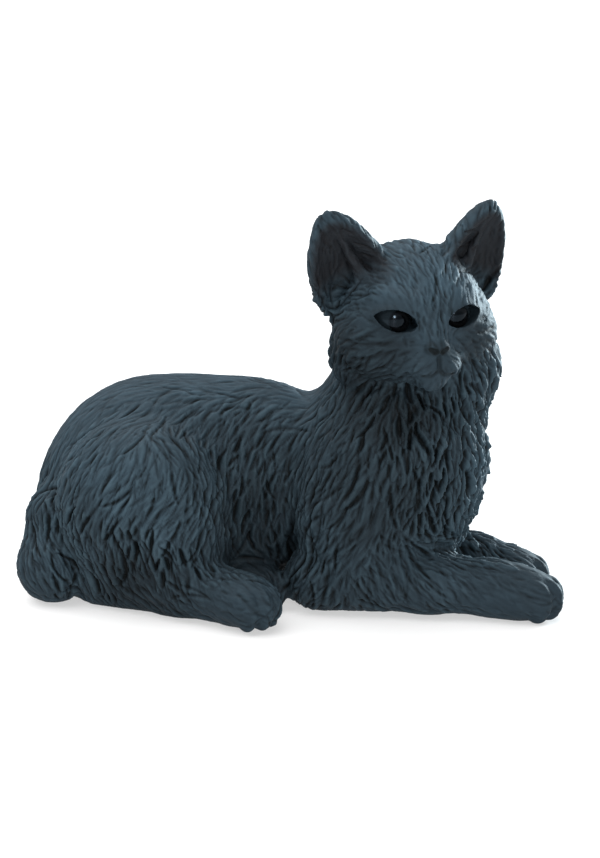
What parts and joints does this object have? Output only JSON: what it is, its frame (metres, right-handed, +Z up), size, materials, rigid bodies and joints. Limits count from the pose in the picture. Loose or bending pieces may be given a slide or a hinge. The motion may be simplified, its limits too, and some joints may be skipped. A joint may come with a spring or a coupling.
{
  "type": "cat figurine",
  "caption": "Lying cat figurine in matt black ceramic, head turned to its right, tail round its left side.",
  "frame": {"origin": "centre of the bounding box's bottom face, on the surface the cat lies on", "axes": "+X the way the body faces, +Y the cat's left, +Z up"},
  "size_m": [0.1312, 0.0598, 0.0969],
  "materials": {
    "black_ceramic": "matte",
    "black_glass": "gloss"
  },
  "bodies": {
    "root": {"torso": "black_ceramic", "head": "black_ceramic", "ear_right": "black_ceramic", "ear_left": "black_ceramic", "foreleg_right": "black_ceramic", "foreleg_left": "black_ceramic", "hind_paw_right": "black_ceramic", "hind_paw_left": "black_ceramic", "tail": "black_ceramic", "eye_right": "black_glass", "eye_left": "black_glass"}
  },
  "joints": []
}
